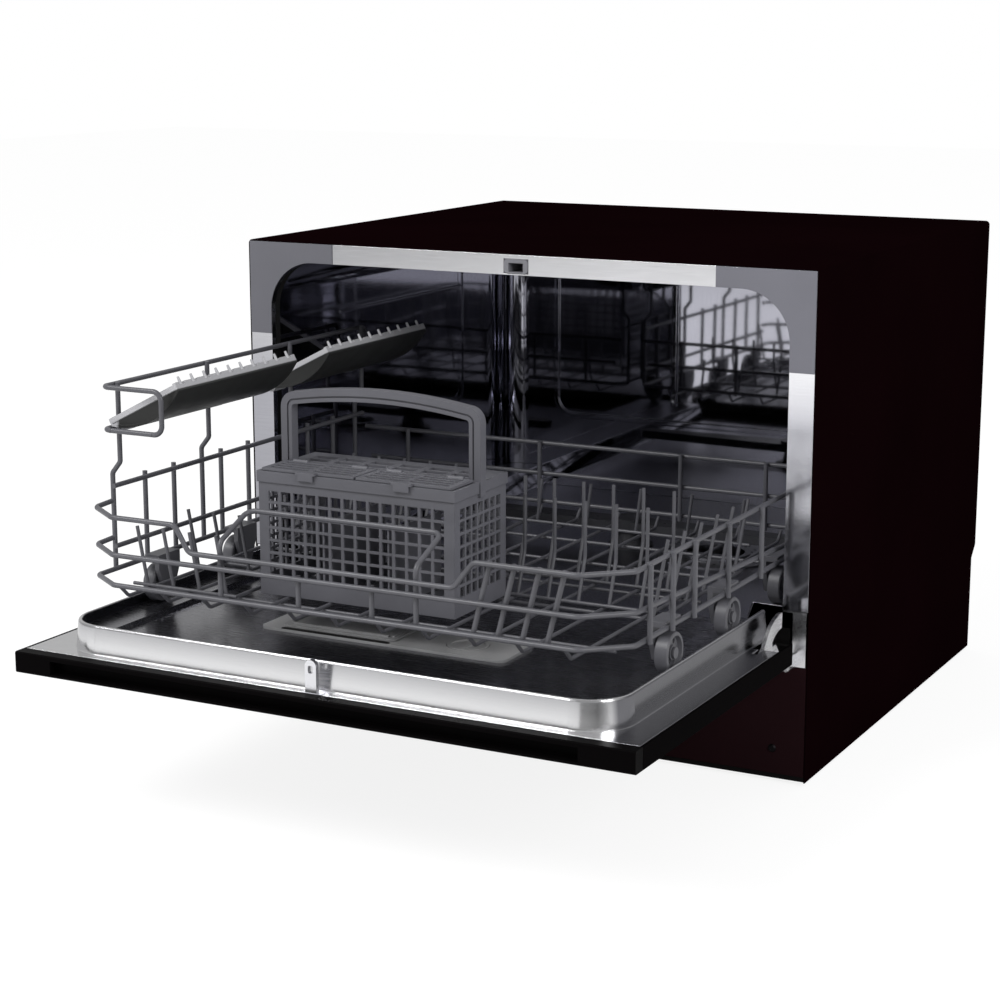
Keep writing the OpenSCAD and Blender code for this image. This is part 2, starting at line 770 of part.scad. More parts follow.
module rinse_cap() color("#4c4c52") {
  translate([cap_x, hinge_y - disp_mid, disp_z + 0.2]) {
    difference() {
      cylinder(r = cap_r, h = 2.8);
      translate([0, 0, 1.8]) difference() {
        cylinder(r = cap_r - 3, h = 2);
        translate([-3, -cap_r, -1]) cube([6, 2 * cap_r, 4]);
      }
    }
  }
}

/* Rack */

x_r = rack_half;
y_f = front - rack_out;
y_b = front + rack_in;
chamfer_x = 32;
chamfer_y = 30;
stub_y = y_f + 43;
weld = 2 * wire_r - 0.1;
loop_y = y_f + 35;
dip_l = [-146, -133];
dip_r = [105, 122];

module rack_rim() color(wire_grey) {
  // Top wire: front with its dip, right side, back
  wire([[-x_r, stub_y, rim_z + 2], [-x_r, y_f + chamfer_y - 8, rim_z + 1],
    [-x_r + chamfer_x, y_f, rim_z], [dip_l[0], y_f, rim_z], [dip_l[1], y_f, rim_z - rim_dip],
    [dip_r[0], y_f, rim_z - rim_dip], [dip_r[1], y_f, rim_z], [x_r - chamfer_x, y_f, rim_z],
    [x_r, y_f + chamfer_y, rim_z], [x_r, y_b, rim_z], [-x_r, y_b, rim_z]]);
  // Middle wire
  wire([[-x_r, stub_y, mid_z + 2], [-x_r, y_f + chamfer_y - 8, mid_z + 1],
    [-x_r + chamfer_x, y_f, mid_z], [x_r - chamfer_x, y_f, mid_z],
    [x_r, y_f + chamfer_y, mid_z], [x_r, y_b - 6, mid_z - 18]]);
  // Lowest wire, a closed ring
  wire([[0, y_f, low_z], [x_r - chamfer_x, y_f, low_z], [x_r, y_f + chamfer_y, low_z],
    [x_r, y_b, low_z], [-x_r, y_b, low_z], [-x_r, y_f + chamfer_y - 8, low_z],
    [-x_r + chamfer_x, y_f, low_z], [0, y_f, low_z]]);
  // Left rails
  rod([-x_r, y_f + 46, left_z], [-x_r, y_b - 6, left_z]);
  rod([-x_r, y_f + 46, mid_z - 6], [-x_r, y_b - 6, mid_z - 6]);
  // Second wire of the back
  rod([-x_r + 7, y_b, mid_z + 2], [x_r - 7, y_b, mid_z + 2]);
}

joggle_y = [y_f + 51, y_f + 178, y_f + 310, y_f + 436];
left_y = [y_f + 95, y_f + 136, y_f + 207, y_f + 250, y_f + 350, y_f + 395];
right_y = [y_f + 47, y_f + 89, y_f + 131, y_f + 200, y_f + 271, y_f + 340, y_f + 400];
back_x = [-190, -118, -47, 97, 180];
front_x = [120, 140.5, 161, 181.5];
front_low_x = [-34, 32];

module rack_uprights() color(wire_grey) {
  xo = x_r + weld;
  xi = x_r - weld;
  // Joggled uprights that carry the shelf rails
  for (y = joggle_y)
    wire([[-xo, y, low_z - 2], [-xo, y, left_z + 10], [-xi, y, left_z + 20], [-xi, y, rail_z + 2]],
      bend = 5);
  for (y = left_y) rod([-xo, y, low_z - 2], [-xo, y, left_z + 4]);
  for (y = right_y) rod([xo, y, low_z - 2], [xo, y, rim_z + 2]);
  // Back uprights
  for (x = back_x) rod([x, y_b - weld, low_z - 4], [x, y_b - weld, rim_z + 2]);
  // Slanted uprights of the front, right of the dip
  for (x = front_x)
    rod([x - 1, y_f + weld, low_z - 2], [x + 14, y_f + weld, rim_z + 1]);
  for (x = front_low_x) rod([x, y_f + weld, low_z - 3], [x, y_f + weld, mid_z + 2]);
}

floor_wire_z = low_z - 12;
cross_z = floor_wire_z - 2 * tine_r + 0.1;
cross_x = 212;
floor_x = [-205, -165, -125, -85, -45, -5, 35, 75, 115, 155, 195];
cross_y = [y_f + 58, y_f + 154, y_f + 222, y_f + 300, y_f + 372];

module rack_floor() color(wire_grey) {
  rise = low_z - floor_wire_z;
  // Floor wires along the rack, turned up at the front and the back
  for (x = floor_x)
    wire([[x, y_f + weld - 0.5, low_z - 1], [x, y_f + weld - 0.5 + rise, floor_wire_z],
      [x, y_b - weld - 6, floor_wire_z], [x, y_b - 2, low_z - 3]], bend = 6, r = tine_r);
}

row_a = [for (i = [0 : 5]) [44 + 27.2 * i, front - 67]];
row_b = [for (i = [0 : 4]) [78 + 27.2 * i, front - 135]];
row_c = [for (i = [0 : 3]) [-208 + 26 * i, front - 262]];
row_d = [for (i = [0 : 3]) [-208 + 26 * i, front - 190]];
row_e = [for (i = [0 : 5]) [-190 + 27.2 * i, front + 40]];
row_f = [for (i = [0 : 7]) [-180 + 50 * i, front + 100]];
kick = 15;
tine_h = 82;
lean = 9;

// Row of kinked plate tines on its carrying wire
module tine_row(row, h, over = 10) {
  z0 = floor_wire_z + 2 * tine_r - 0.1;
  y0 = row[0].y - kick;
  rod([row[0].x - over, y0, z0], [row[len(row) - 1].x + over, y0, z0], tine_r);
  for (p = row)
    wire([[p.x, y0 + 2 * tine_r - 0.2, z0 - 0.5], [p.x, p.y, z0 + 34], [p.x, p.y, z0 + h]],
      bend = 12, r = tine_r);
}

module leaning_row(row, h, dx) {
  z0 = floor_wire_z + 2 * tine_r - 0.1;
  rod([row[0].x - 12, row[0].y, z0], [row[len(row) - 1].x + 12, row[0].y, z0], tine_r);
  for (p = row)
    rod([p.x, p.y + 2 * tine_r - 0.2, z0], [p.x + dx, p.y + 2 * tine_r - 0.2, z0 + h], tine_r);
}

module rack_tines() color(wire_grey) {
  tine_row(row_a, tine_h - 2);
  tine_row(row_b, tine_h - 2);
  leaning_row(row_c, 48, -lean);
  leaning_row(row_d, 48, -lean);
  tine_row(row_e, 60);
  leaning_row(row_f, 40, 5);
  // Cross wires under the floor wires
  for (y = cross_y) rod([-cross_x, y, cross_z], [cross_x, y, cross_z], tine_r);
  // Slanted row beside the right wall of the rack, on the cross wires
  x0 = cross_x - 6;
  rod([x0, front - 170, floor_wire_z], [x0, front + 20, floor_wire_z], tine_r);
  for (i = [0 : 5]) {
    y = front - 160 + 34 * i;
    rod([x0 - 2 * tine_r + 0.2, y, floor_wire_z], [x0 - 2 * tine_r + 6.2, y + 14, floor_wire_z + 62],
      tine_r);
  }
}

bar_gap = 0.3;
bar_x = [-x_r + wire_bend + 1, -x_r + loop_w - wire_bend - 1];

module shelf_front_bar() color(wire_grey)
  rod([bar_x[0], loop_y, pivot_z], [bar_x[1], loop_y, pivot_z]);

module shelf_frame() color(wire_grey) {
  wire([[bar_x[1] + bar_gap, loop_y, pivot_z], [-x_r + loop_w, loop_y, pivot_z],
    [-x_r + loop_w, loop_y, rail_z], [-x_r, loop_y, rail_z], [-x_r, y_b, rail_z],
    [-x_r, y_b, pivot_z], [-x_r, loop_y, pivot_z], [bar_x[0] - bar_gap, loop_y, pivot_z]]);
}

guard_y = front - 260;
guard_z = 251.5;
guard_x = [-106, 71];
module basket_guard() color(wire_grey) {
  foot = [y_f + weld - 0.4, low_z + 2];
  wire([[guard_x[0], foot[0], foot[1]], [guard_x[0], foot[0], guard_z - 18],
    [guard_x[0], guard_y, guard_z], [guard_x[1], guard_y, guard_z],
    [guard_x[1], foot[0], guard_z - 18], [guard_x[1], foot[0], foot[1]]]);
}

/* Wheels */

axle_z = track_z + wheel_r + seat;
wheel_x = rack_half + 2;
wheel_y = [for (i = [0 : 2]) front - wheel_out + i * wheel_pitch];
stub_x = wheel_x - wheel_w - 6;

module wheel_brackets() color("#55555b") {
  both_sides() for (y = wheel_y) {
    difference() {
      union() {
        along_x(stub_x, stub_x + 4.5)
          polygon([[y - 15, low_z + 1], [y - 15, low_z - 8], [y - 6, axle_z - 6], [y + 6, axle_z - 6],
            [y + 15, low_z - 8], [y + 15, low_z + 1]]);
        box([stub_x, x_r - wire_r * 0.2], [y - 15, y + 15], [low_z - 0.3, low_z + wire_r + 2]);
      }
      translate([x_r, y - 20, low_z]) rotate([-90, 0, 0]) cylinder(r = wire_r - 0.02, h = 40);
    }
    translate([stub_x + 4, y, axle_z]) rotate([0, 90, 0]) {
      cylinder(r = axle_r, h = wheel_x - stub_x - 4 + 0.6);
      translate([0, 0, wheel_x - stub_x - 4 - 1.2]) cylinder(r = axle_r + 1.6, h = 1.8);
      cylinder(r = axle_r + 2, h = 1.7);
    }
  }
}

// Spoked plastic wheel with a raised tread, centred on its axle
module wheel_at(side, y) color("#606067")
  translate([side * (wheel_x - wheel_w), y, axle_z]) rotate([0, 90 * side, 0])
    difference() {
      rotate_extrude($fn = 64)
        polygon([[axle_r + 0.06, 0], [6, 0], [6, 2], [wheel_r - 4, 2], [wheel_r - 3, 0],
          [wheel_r - 0.8, 0], [wheel_r, 0.8], [wheel_r, wheel_w - 0.8], [wheel_r - 0.8, wheel_w],
          [wheel_r - 3, wheel_w], [wheel_r - 4, wheel_w - 3.5], [6, wheel_w - 3.5],
          [6, wheel_w - 1.6], [axle_r + 0.06, wheel_w - 1.6]]);
      for (i = [0 : 5]) rotate(60 * i + 30) translate([9.2, 0, -1]) cylinder(r = 2.1, h = wheel_w);
    }
module front_left_wheel() wheel_at(-1, wheel_y[0]);
module middle_left_wheel() wheel_at(-1, wheel_y[1]);
module rear_left_wheel() wheel_at(-1, wheel_y[2]);
module front_right_wheel() wheel_at(1, wheel_y[0]);
module middle_right_wheel() wheel_at(1, wheel_y[1]);
module rear_right_wheel() wheel_at(1, wheel_y[2]);

/* Cup shelves */

shelf_pitch = shelf_l / shelf_tines;
scoop_x = [4, shelf_w];
scoop_c = scoop_x[1] - scoop_x[0];
scoop_r = (scoop_c * scoop_c / 4 + shelf_sag * shelf_sag) / (2 * shelf_sag);

// Section of the scoop, drawn over its chord
module scoop_section(thick) {
  mid = [(scoop_x[0] + scoop_x[1]) / 2, 3 + scoop_r - shelf_sag];
  intersection() {
    difference() {
      translate(mid) circle(r = scoop_r + thick, $fn = 160);
      translate(mid) circle(r = scoop_r, $fn = 160);
    }
    translate([scoop_x[0], -shelf_sag - 6]) square([scoop_c, shelf_sag + 12]);
  }
}

module cup_shelf(y0) color("#4c4c52")
  translate([-x_r, y0, pivot_z]) rotate([0, -shelf_tilt, 0]) {
    difference() {
      union() {
        // Scoop, cut clear of the uprights
        translate([0, shelf_l, 0]) rotate([90, 0, 0]) linear_extrude(shelf_l) scoop_section(shelf_t);
        // End bands along the chord and their webs
        for (y = [0, shelf_l - 3]) {
          translate([scoop_x[0], y, 2]) cube([scoop_c, 3, 4.4]);
          translate([0, y + 2.2, 0]) rotate([90, 0, 0]) linear_extrude(1.4) intersection() {
            translate([(scoop_x[0] + scoop_x[1]) / 2, 3 + scoop_r - shelf_sag])
              circle(r = scoop_r + 0.5, $fn = 160);
            translate([scoop_x[0] + 0.5, -shelf_sag - 6]) square([scoop_c - 1, shelf_sag + 9]);
          }
        }
      }
      for (y = joggle_y) translate([3, y - y0 - 4, -20]) cube([20, 8, 40]);
    }
    // Rim along the free edge, raised between the pegs
    translate([scoop_x[1] - 3, 0, 0.6]) cube([3, shelf_l, 4.6]);
    for (i = [0 : shelf_tines])
      translate([scoop_x[1] - 3, max(0, (i - 0.28) * shelf_pitch), 5])
        cube([3, (i == 0 || i == shelf_tines ? 0.28 : 0.56) * shelf_pitch, 2.4]);
    for (i = [0 : shelf_tines - 1])
      translate([scoop_x[1] - 1.5, (i + 0.5) * shelf_pitch, 5]) cylinder(r1 = 1.5, r2 = 1, h = 7, $fn = 16);
    // Pivot barrels on the lower rail
    for (y = [13, shelf_l - 36])
      translate([0, y, 0]) rotate([-90, 0, 0]) difference() {
        union() {
          cylinder(r = 5, h = 20);
          translate([0, -5.4, 0]) cube([9, 5.4, 20]);
        }
        translate([0, 0, -1]) cylinder(r = wire_r + 0.06, h = 22);
      }
  }
module front_cup_shelf() cup_shelf(loop_y + 7);
module rear_cup_shelf() cup_shelf(loop_y + 7 + shelf_l + 52);

/* Cutlery basket */

basket_x = -20.5 - basket_w / 2;
basket_y = front - 238;
basket_z = floor_wire_z + tine_r + seat;
band = 15;
foot_band = 14;

module lattice_wall(len, cols) {
  w = (len - 16) / cols;
  h = (basket_h - band - foot_band) / lattice_rows;
  difference() {
    square([len, basket_h]);
    for (i = [0 : cols - 1], j = [0 : lattice_rows - 1])
      translate([8 + i * w + 1.3, foot_band + j * h + 1.1]) square([w - 2.6, h - 2.2]);
  }
}

side_cols = 7;
handle_y = basket_d / 2;
lid_hinge_y = handle_y - 7;
partition_x = [basket_w / 3, 2 * basket_w / 3];

module cutlery_basket() color(basket_grey)
  translate([basket_x, basket_y, basket_z]) {
    // Walls
    for (y = [basket_t, basket_d])
      translate([0, y, 0]) rotate([90, 0, 0]) linear_extrude(basket_t)
        lattice_wall(basket_w, lattice_cols);
    for (x = [0, basket_w - basket_t])
      translate([x, 0, 0]) rotate([90, 0, 90]) linear_extrude(basket_t)
        lattice_wall(basket_d, side_cols);
    // Rims at the top and foot
    difference() {
      translate([-1.2, -1.2, basket_h - 9]) cube([basket_w + 2.4, basket_d + 2.4, 9]);
      translate([basket_t - 0.5, basket_t - 0.5, basket_h - 10])
        cube([basket_w - 2 * basket_t + 1, basket_d - 2 * basket_t + 1, 12]);
    }
    // Slotted floor
    linear_extrude(basket_t) difference() {
      square([basket_w, basket_d]);
      for (i = [0 : 8], j = [0, 1])
        translate([9 + i * 19 - 2.5, 8 + j * (basket_d / 2 - 4)])
          square([7, basket_d / 2 - 13]);
    }
    // Partitions
    for (x = partition_x)
      translate([x - 0.8, 1, 1]) cube([1.6, basket_d - 2, basket_h * 0.62]);
    // Fixed slotted cover behind the handle
    translate([1, handle_y + 6, basket_h - 2.2]) linear_extrude(2.2) difference() {
      square([basket_w - 2, basket_d - handle_y - 7]);
      for (i = [0 : 5], j = [0, 1])
        translate([9 + i * 27.4, 4 + j * 13]) square([21, 9]);
    }
    // Arched handle on the end walls
    difference() {
      translate([-handle_over, handle_y + 4.5, 0]) rotate([90, 0, 0]) linear_extrude(9)
        handle_frame(0, handle_band);
      translate([-handle_over, handle_y - 3, 0]) rotate([90, 0, 0]) linear_extrude(4)
        handle_frame(handle_band - 4.6, handle_band - 3.2);
    }
    // Bar that carries the lids
    translate([1, lid_hinge_y + 1.6, basket_h - 8]) cube([basket_w - 2, 2, 8]);
  }

handle_band = 10.5;
handle_over = 2.5;
handle_span = basket_w + 2 * handle_over;

// Height of the arch over the basket floor, across the handle
function arch_z(x, inset) = basket_h + handle_h - inset - 9 * pow(2 * x / handle_span - 1, 2);

module arch_area(inset) {
  r = max(3, 13 - inset);
  left = inset + r;
  right = handle_span - left;
  polygon(concat([[inset, basket_h - 12]],
    [for (a = [180 : -15 : 100]) [left + r * cos(a), arch_z(left, inset) - r + r * sin(a)]],
    [for (i = [0 : 12]) let (x = left + (right - left) * i / 12) [x, arch_z(x, inset)]],
    [for (a = [75 : -15 : 0]) [right + r * cos(a), arch_z(right, inset) - r + r * sin(a)]],
    [[handle_span - inset, basket_h - 12]]));
}

module handle_frame(outer, inner) {
  difference() {
    arch_area(outer);
    intersection() {
      arch_area(inner);
      translate([-1, basket_h - 11.9]) square([handle_span + 2, handle_h + 20]);
    }
    if (outer > 0) translate([-1, basket_h - 13]) square([handle_span + 2, 14.5]);
    translate([inner, basket_h - 13]) square([handle_span - 2 * inner, 14]);
  }
}

// Slotted flap over the front half of the basket, hinged just ahead of the handle
lid_w = (basket_w - 8) / 2;
module basket_lid(x0) color("#5d5d65")
  translate([x0, basket_y, basket_z + basket_h + seat]) {
    linear_extrude(2.2) difference() {
      translate([0, 0.6]) square([lid_w, lid_hinge_y - 0.8]);
      for (i = [0, 1], j = [0 : 3])
        translate([5 + i * (lid_w - 5) / 2, 5 + j * 7.4]) square([(lid_w - 5) / 2 - 5, 4.4]);
    }
    // Clip over the front rim and the hinge barrels
    translate([lid_w / 2 - 9, -3.4, 0]) cube([18, 5, 2.2]);
    translate([lid_w / 2 - 7, -3.4, -5]) cube([14, 1.8, 5.1]);
    for (x = [8, lid_w - 22])
      translate([x, lid_hinge_y, 1.9]) rotate([0, 90, 0]) cylinder(r = 1.9, h = 14);
  }
module left_basket_lid() basket_lid(basket_x + 3);
module right_basket_lid() basket_lid(basket_x + basket_w - 3 - lid_w);

/* Wash system */

module spray_hub() color("#3d3d42") translate([0, 0, floor_z]) difference() {
  union() {
    cylinder(r = 22, h = 3);
    cylinder(r1 = 16, r2 = 12, h = 16);
    cylinder(r = 6, h = 27.5);
    translate([0, 0, -40]) cylinder(r = 8.7, h = 41);
  }
  translate([0, 0, -41]) cylinder(r = 4.5, h = 66);
}

arm_z = floor_z + 17;
module spray_arm() color("#4b4b51") translate([0, 0, arm_z]) {
  difference() {
    union() {
      cylinder(r = 17, h = 12);
      linear_extrude(9) difference() {
        union() {
          polygon([[-arm_len / 2 + 10, -9], [0, -16], [arm_len / 2 - 10, -9],
            [arm_len / 2 - 10, 9], [0, 16], [-arm_len / 2 + 10, 9]]);
          for (side = [-1, 1]) translate([side * (arm_len / 2 - 10), 0]) circle(r = 9);
        }
      }
    }
    translate([0, 0, -1]) cylinder(r = 6.08, h = 12);
    // Water channels and jets
    for (side = [0, 1]) mirror([side, 0, 0]) {
      translate([16, -5, 2]) cube([arm_len / 2 - 30, 10, 4]);
      for (i = [0 : 5]) translate([36 + i * 26, 0, 3]) cylinder(r = 1.4, h = 10, $fn = 16);
    }
  }
}

well_z = floor_z - 44;
neck_y = well_y + 30;
neck_x = 20;
module sump() color("#4a4a50") {
  translate([well_x, well_y, 0]) difference() {
    union() {
      translate([0, 0, well_z]) cylinder(r = filter_r - 4, h = 40);
      translate([0, 0, floor_z - 6]) cylinder(r = filter_r + 5, h = 4.7);
    }
    translate([0, 0, well_z + 3]) cylinder(r = filter_r - 8, h = 60);
    translate([0, 0, floor_z - 3.2]) cylinder(r = filter_r, h = 60);
  }
  // Outlets to the two pumps
  translate([well_x - 36, neck_y, well_z + 14]) rotate([0, -90, 0]) difference() {
    cylinder(r = 11, h = well_x - 36 - neck_x);
    translate([0, 0, 8]) cylinder(r = 8, h = 60);
  }
  translate([well_x, well_y, foot_h + 2.8]) cylinder(r = 9, h = well_z - foot_h - 2.7);
}

module filter_plate() color("#9fa0a6") translate([well_x, well_y, floor_z - 1]) {
  difference() {
    union() {
      translate([0, 0, 1]) cylinder(r = filter_r + 6, h = 1.4);
      translate([0, 0, -1.5]) cylinder(r = filter_r - 0.5, h = 3);
    }
    translate([0, 0, -3]) cylinder(r = 30.3, h = 10);
    for (ring = [0 : 1], i = [0 : 17])
      rotate(20 * i + 10 * ring) translate([36 + 7 * ring, 0, -3]) cylinder(r = 1.7, h = 10, $fn = 16);
  }
}

module filter_cup() color("#8b8c92") translate([well_x, well_y, 0]) {
  difference() {
    union() {
      translate([0, 0, well_z + 5]) cylinder(r = 30, h = 41);
      translate([0, 0, floor_z + 1.4 + seat]) cylinder(r = 33, h = 2.4);
    }
    translate([0, 0, well_z + 7]) cylinder(r = 28, h = 60);
    // Windows for the mesh
    for (i = [0 : 5]) rotate(60 * i) translate([20, -8, well_z + 12]) cube([20, 16, 22]);
  }
  translate([-28.6, -2, floor_z - 8]) cube([57.2, 4, 9]);
}

pump_x = -52;
module wash_pump() color("#2c2c30") {
  translate([pump_x, 0, 60]) {
    translate([0, 40, 0]) rotate([90, 0, 0]) cylinder(r = 36, h = 40);
    translate([0, 120, 0]) rotate([90, 0, 0]) cylinder(r = 30, h = 81);
    translate([0, 136, 0]) rotate([90, 0, 0]) cylinder(r = 10, h = 17);
  }
  for (y = [60, 100])
    box([pump_x - 22, pump_x + 22], [y, y + 8], [foot_h + 2.8, 40]);
  // Suction neck towards the sump
  translate([pump_x + 20, neck_y, well_z + 14]) rotate([0, 90, 0])
    cylinder(r = 10.5, h = neck_x - seat - pump_x - 20);
  // Riser to the spray arm
  translate([0, 0, 60]) cylinder(r = 8.7, h = floor_z - 40 - seat - 60);
  translate([pump_x, 10, 72]) rotate([0, 90, 0]) cylinder(r = 8.7, h = -pump_x);
}

module drain_pump() color("#34343a") {
  translate([well_x + 62, -20, 40]) rotate([90, 0, 0]) cylinder(r = 21, h = 46);
  translate([well_x + 62, -8, 40]) rotate([90, 0, 0]) cylinder(r = 26, h = 13);
  box([well_x + 46, well_x + 78], [-60, -40], [foot_h + 2.8, 30]);
}

module flow_heater() color("#a9aab0") {
  translate([-140, 70, 52]) rotate([90, 0, 0]) cylinder(r = 18, h = 130);
  for (y = [-50, 60])
    box([-152, -128], [y - 5, y + 5], [foot_h + 2.8, 40]);
  translate([-140, -20, 52]) rotate([0, 90, 0]) cylinder(r = 7, h = 66);
}

base_back = rear - base_inset;
module inlet_valve() color("#5f6a78") translate([-200, 0, 60]) {
  difference() {
    union() {
      translate([0, base_back - 26, 0]) rotate([-90, 0, 0]) cylinder(r = inlet_r - 0.6, h = 30);
      translate([0, base_back + 1, 0]) rotate([-90, 0, 0]) cylinder(r = inlet_r, h = base_inset - 1.5);
    }
    translate([0, base_back - 16, 0]) rotate([-90, 0, 0]) cylinder(r = 9, h = 60);
  }
  box([-19, 19], [base_back - 60, base_back - 25.9], [-17, 22]);
  box([-12, 12], [base_back - 54, base_back - 32], [-54.2, -16.9]);
}

module drain_spigot() color("#2b2b2f") translate([-150, 0, 60]) {
  difference() {
    union() {
      translate([0, base_back - 30, 0]) rotate([-90, 0, 0]) cylinder(r = drain_r - 0.6, h = 34);
      translate([0, base_back + 1, 0]) rotate([-90, 0, 0]) cylinder(r = drain_r, h = base_inset - 1.5);
      translate([0, base_back - 6.2, 0]) rotate([-90, 0, 0]) cylinder(r = 16, h = 3.4);
    }
    translate([0, base_back - 31, 0]) rotate([-90, 0, 0]) cylinder(r = 7, h = 60);
  }
}

module cord_gland() color("#1d1d1f") translate([205, 0, 60]) difference() {
  union() {
    translate([0, base_back - 8, 0]) rotate([-90, 0, 0]) cylinder(r = 8, h = 8 + 7);
    translate([0, base_back, 0]) rotate([-90, 0, 0]) cylinder(r = 12, h = 3.5);
    translate([0, base_back - 6, 0]) rotate([-90, 0, 0]) cylinder(r = 11, h = 3.3);
  }
  translate([0, base_back - 9, 0]) rotate([-90, 0, 0]) cylinder(r = 3.6, h = 30);
}

module air_breaker() color("#c9cbc4") {
  x1 = -tub_half - tub_t - seat;
  x0 = -inner_half + seat + 0.3;
  difference() {
    along_x(x0, x1) translate([20, 256]) round_rect(180, 180, 18);
    along_x(x0 + 1.6, x1 - 1.6) translate([20, 256]) round_rect(172, 172, 15);
  }
  for (y = [-40, 20, 80])
    along_x(x0 + 1, x1 - 1) translate([y - 0.8, 190]) square([1.6, 110]);
  translate([(x0 + x1) / 2, -20, 96]) cylinder(r = 5, h = 72);
}

outer_casing();
rear_panel();
base_tray();
feet();
kick_plate();
front_frame();
left_frame_corner();
right_frame_corner();
latch_receiver();
tub();
tub_gasket();
door_sill();
hinge_brackets();
hinge_pins();
sump();
filter_plate();
filter_cup();
spray_hub();
spray_arm();
wash_pump();
drain_pump();
flow_heater();
inlet_valve();
drain_spigot();
cord_gland();
air_breaker();
casing_screws();
door_outer_panel();
door_top_trim();
door_liner();
control_panel();
display_window();
control_board();
latch_strike();
hinge_arms();
dispenser_body();
dispenser_lid();
rinse_cap();
power_button();
program_button();
start_button();
shelf_front_bar();
rack_rim();
rack_uprights();
rack_floor();
rack_tines();
shelf_frame();
basket_guard();
wheel_brackets();
front_left_wheel();
middle_left_wheel();
rear_left_wheel();
front_right_wheel();
middle_right_wheel();
rear_right_wheel();
front_cup_shelf();
rear_cup_shelf();
cutlery_basket();
left_basket_lid();
right_basket_lid();
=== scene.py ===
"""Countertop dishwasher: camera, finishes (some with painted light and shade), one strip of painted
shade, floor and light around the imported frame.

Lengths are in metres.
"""

import math

import bmesh
import bpy
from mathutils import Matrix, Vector


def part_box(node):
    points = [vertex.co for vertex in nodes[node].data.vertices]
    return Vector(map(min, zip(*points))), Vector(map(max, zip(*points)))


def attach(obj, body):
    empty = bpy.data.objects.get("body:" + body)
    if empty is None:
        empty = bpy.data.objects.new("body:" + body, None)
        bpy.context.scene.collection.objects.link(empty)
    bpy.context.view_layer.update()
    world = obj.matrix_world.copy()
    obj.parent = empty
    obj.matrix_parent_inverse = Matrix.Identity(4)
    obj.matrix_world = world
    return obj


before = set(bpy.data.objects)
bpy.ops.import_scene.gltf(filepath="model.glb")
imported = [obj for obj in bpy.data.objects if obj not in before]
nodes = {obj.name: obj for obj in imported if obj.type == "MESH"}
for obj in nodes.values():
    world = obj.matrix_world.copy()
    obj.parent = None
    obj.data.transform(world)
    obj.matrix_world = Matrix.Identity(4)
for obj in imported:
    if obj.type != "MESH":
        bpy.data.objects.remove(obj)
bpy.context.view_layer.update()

RIGHT, FRONT, UP = (1.0, 0.0, 0.0), (0.0, -1.0, 0.0), (0.0, 0.0, 1.0)
WHITE = (1.0, 1.0, 1.0)

CAMERA_AT = (0.8894, -1.9758, 0.6382)
CAMERA_TURN = (77.88, 0.0, 27.64)
FOCAL = 81.3


def photo_camera():
    """Camera at the photograph's viewing angle."""
    data = bpy.data.cameras.new("photo_camera")
    data.lens = FOCAL
    data.sensor_width = 36.0
    data.clip_end = 50.0
    made = bpy.data.objects.new("photo_camera", data)
    made.location = CAMERA_AT
    made.rotation_euler = [math.radians(angle) for angle in CAMERA_TURN]
    bpy.context.scene.collection.objects.link(made)
    return made


bpy.context.scene.camera = photo_camera()
bpy.context.scene.view_settings.view_transform = "Standard"


